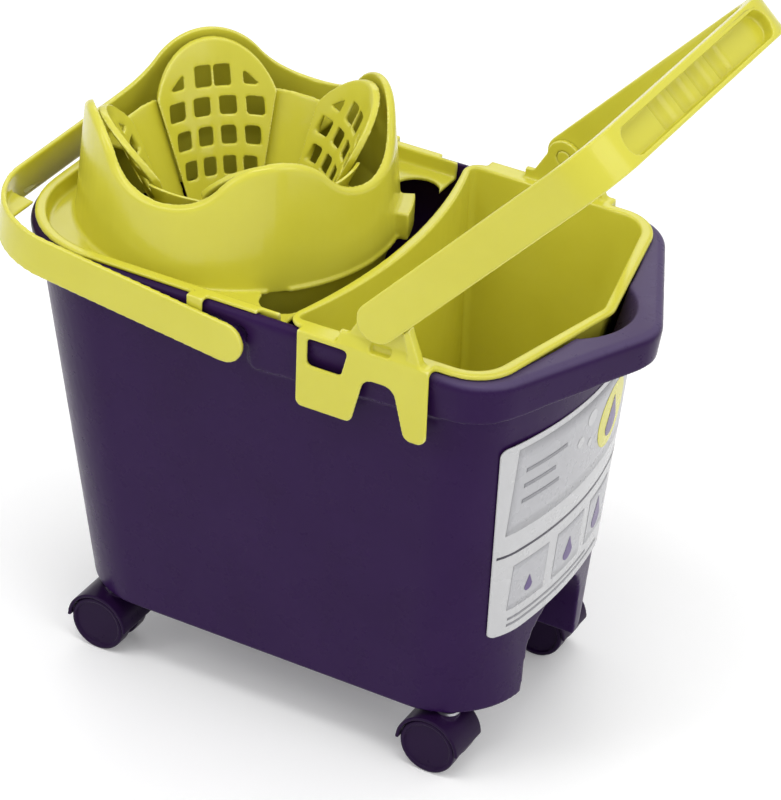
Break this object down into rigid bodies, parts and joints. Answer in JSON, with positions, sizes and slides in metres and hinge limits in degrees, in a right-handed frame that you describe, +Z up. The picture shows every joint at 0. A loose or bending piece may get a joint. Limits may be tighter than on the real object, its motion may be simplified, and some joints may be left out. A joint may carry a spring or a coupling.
{
  "type": "mop bucket with wringer",
  "caption": "Violet mop bucket on swivel casters with a lime press-down wringer, a lift-out rinse tub and two swinging handles",
  "frame": {"origin": "on the floor under the middle of the bucket's base", "axes": "+Z up, +X toward the pouring spout and the rinse tub, +Y to the left side when looking along +X"},
  "size_m": [0.4536, 0.2588, 0.5109],
  "materials": {
    "bucket_violet": "satin moulded polypropylene, dark violet",
    "lime_plastic": "satin moulded polypropylene, lime yellow",
    "caster_dark": "moulded nylon, near-black violet",
    "steel": "zinc-plated steel wire and pins",
    "label_film": "printed white film"
  },
  "bodies": {
    "bucket": {"bucket_body": "bucket_violet", "end_label": "label_film"},
    "caster_front_left": {"caster_front_left_stem": "steel", "caster_front_left_hood": "caster_dark", "caster_front_left_axle": "steel"},
    "wheel_front_left_near": {"caster_front_left_wheel_near": "caster_dark"},
    "wheel_front_left_far": {"caster_front_left_wheel_far": "caster_dark"},
    "caster_front_right": {"caster_front_right_stem": "steel", "caster_front_right_hood": "caster_dark", "caster_front_right_axle": "steel"},
    "wheel_front_right_near": {"caster_front_right_wheel_near": "caster_dark"},
    "wheel_front_right_far": {"caster_front_right_wheel_far": "caster_dark"},
    "caster_rear_left": {"caster_rear_left_stem": "steel", "caster_rear_left_hood": "caster_dark", "caster_rear_left_axle": "steel"},
    "wheel_rear_left_near": {"caster_rear_left_wheel_near": "caster_dark"},
    "wheel_rear_left_far": {"caster_rear_left_wheel_far": "caster_dark"},
    "caster_rear_right": {"caster_rear_right_stem": "steel", "caster_rear_right_hood": "caster_dark", "caster_rear_right_axle": "steel"},
    "wheel_rear_right_near": {"caster_rear_right_wheel_near": "caster_dark"},
    "wheel_rear_right_far": {"caster_rear_right_wheel_far": "caster_dark"},
    "bail": {"bail_handle": "lime_plastic"},
    "wringer": {"wringer_housing": "lime_plastic", "wringer_basket": "lime_plastic", "jaw_pins": "steel", "return_spring": "steel"},
    "press": {"press_plate": "lime_plastic"},
    "jaw_rear_right_body": {"jaw_rear_right": "lime_plastic"},
    "jaw_rear_left_body": {"jaw_rear_left": "lime_plastic"},
    "jaw_front_left_body": {"jaw_front_left": "lime_plastic"},
    "jaw_front_right_body": {"jaw_front_right": "lime_plastic"},
    "tub": {"rinse_tub": "lime_plastic"},
    "tub_grip": {"tub_handle": "lime_plastic"}
  },
  "joints": [
    {"name": "swivel_front_left", "type": "hinge", "parent": "bucket", "child": "caster_front_left", "pos_m": [-0.12775, -0.076, 0.046], "axis": [0, 0, 1], "continuous": true},
    {"name": "roll_front_left_near", "type": "hinge", "parent": "caster_front_left", "child": "wheel_front_left_near", "pos_m": [-0.13425, -0.076, 0.02], "axis": [0, 1, 0], "continuous": true},
    {"name": "roll_front_left_far", "type": "hinge", "parent": "caster_front_left", "child": "wheel_front_left_far", "pos_m": [-0.13425, -0.076, 0.02], "axis": [0, 1, 0], "continuous": true},
    {"name": "swivel_front_right", "type": "hinge", "parent": "bucket", "child": "caster_front_right", "pos_m": [0.12775, -0.076, 0.046], "axis": [0, 0, 1], "continuous": true},
    {"name": "roll_front_right_near", "type": "hinge", "parent": "caster_front_right", "child": "wheel_front_right_near", "pos_m": [0.12125, -0.076, 0.02], "axis": [0, 1, 0], "continuous": true},
    {"name": "roll_front_right_far", "type": "hinge", "parent": "caster_front_right", "child": "wheel_front_right_far", "pos_m": [0.12125, -0.076, 0.02], "axis": [0, 1, 0], "continuous": true},
    {"name": "swivel_rear_left", "type": "hinge", "parent": "bucket", "child": "caster_rear_left", "pos_m": [-0.12775, 0.076, 0.046], "axis": [0, 0, 1], "continuous": true},
    {"name": "roll_rear_left_near", "type": "hinge", "parent": "caster_rear_left", "child": "wheel_rear_left_near", "pos_m": [-0.13425, 0.076, 0.02], "axis": [0, 1, 0], "continuous": true},
    {"name": "roll_rear_left_far", "type": "hinge", "parent": "caster_rear_left", "child": "wheel_rear_left_far", "pos_m": [-0.13425, 0.076, 0.02], "axis": [0, 1, 0], "continuous": true},
    {"name": "swivel_rear_right", "type": "hinge", "parent": "bucket", "child": "caster_rear_right", "pos_m": [0.12775, 0.076, 0.046], "axis": [0, 0, 1], "continuous": true},
    {"name": "roll_rear_right_near", "type": "hinge", "parent": "caster_rear_right", "child": "wheel_rear_right_near", "pos_m": [0.12125, 0.076, 0.02], "axis": [0, 1, 0], "continuous": true},
    {"name": "roll_rear_right_far", "type": "hinge", "parent": "caster_rear_right", "child": "wheel_rear_right_far", "pos_m": [0.12125, 0.076, 0.02], "axis": [0, 1, 0], "continuous": true},
    {"name": "bail_swing", "type": "hinge", "parent": "bucket", "child": "bail", "pos_m": [-0.0155, 0, 0.303], "axis": [0, 1, 0], "range_deg": [0, 83]},
    {"name": "wringer_lift", "type": "slide", "parent": "bucket", "child": "wringer", "axis": [0, 0, 1], "range_m": [0, 0.08]},
    {"name": "press_down", "type": "slide", "parent": "wringer", "child": "press", "axis": [0, 0, -1], "range_m": [0, 0.006], "stiffness_N_per_m": 800, "springref_m": -0.004, "deforming": ["return_spring"]},
    {"name": "jaw_rear_right_close", "type": "hinge", "parent": "wringer", "child": "jaw_rear_right_body", "pos_m": [-0.04997, 0.03253, 0.277], "axis": [0.7071, -0.7071, 0], "range_deg": [0, 13]},
    {"name": "jaw_rear_left_close", "type": "hinge", "parent": "wringer", "child": "jaw_rear_left_body", "pos_m": [-0.11503, 0.03253, 0.277], "axis": [0.7071, 0.7071, 0], "range_deg": [0, 13]},
    {"name": "jaw_front_left_close", "type": "hinge", "parent": "wringer", "child": "jaw_front_left_body", "pos_m": [-0.11503, -0.03253, 0.277], "axis": [-0.7071, 0.7071, 0], "range_deg": [0, 13]},
    {"name": "jaw_front_right_close", "type": "hinge", "parent": "wringer", "child": "jaw_front_right_body", "pos_m": [-0.04997, -0.03253, 0.277], "axis": [-0.7071, -0.7071, 0], "range_deg": [0, 13]},
    {"name": "tub_lift", "type": "slide", "parent": "bucket", "child": "tub", "axis": [0, 0, 1], "range_m": [0, 0.22]},
    {"name": "tub_handle_swing", "type": "hinge", "parent": "tub", "child": "tub_grip", "pos_m": [0.0905, 0, 0.35], "axis": [0, -1, 0], "range_deg": [0, 63]}
  ],
  "couplings": [
    {"joint": "jaw_rear_right_close", "follows": "press_down", "rad_per_m": 37.79},
    {"joint": "jaw_rear_left_close", "follows": "press_down", "rad_per_m": 37.79},
    {"joint": "jaw_front_left_close", "follows": "press_down", "rad_per_m": 37.79},
    {"joint": "jaw_front_right_close", "follows": "press_down", "rad_per_m": 37.79}
  ]
}
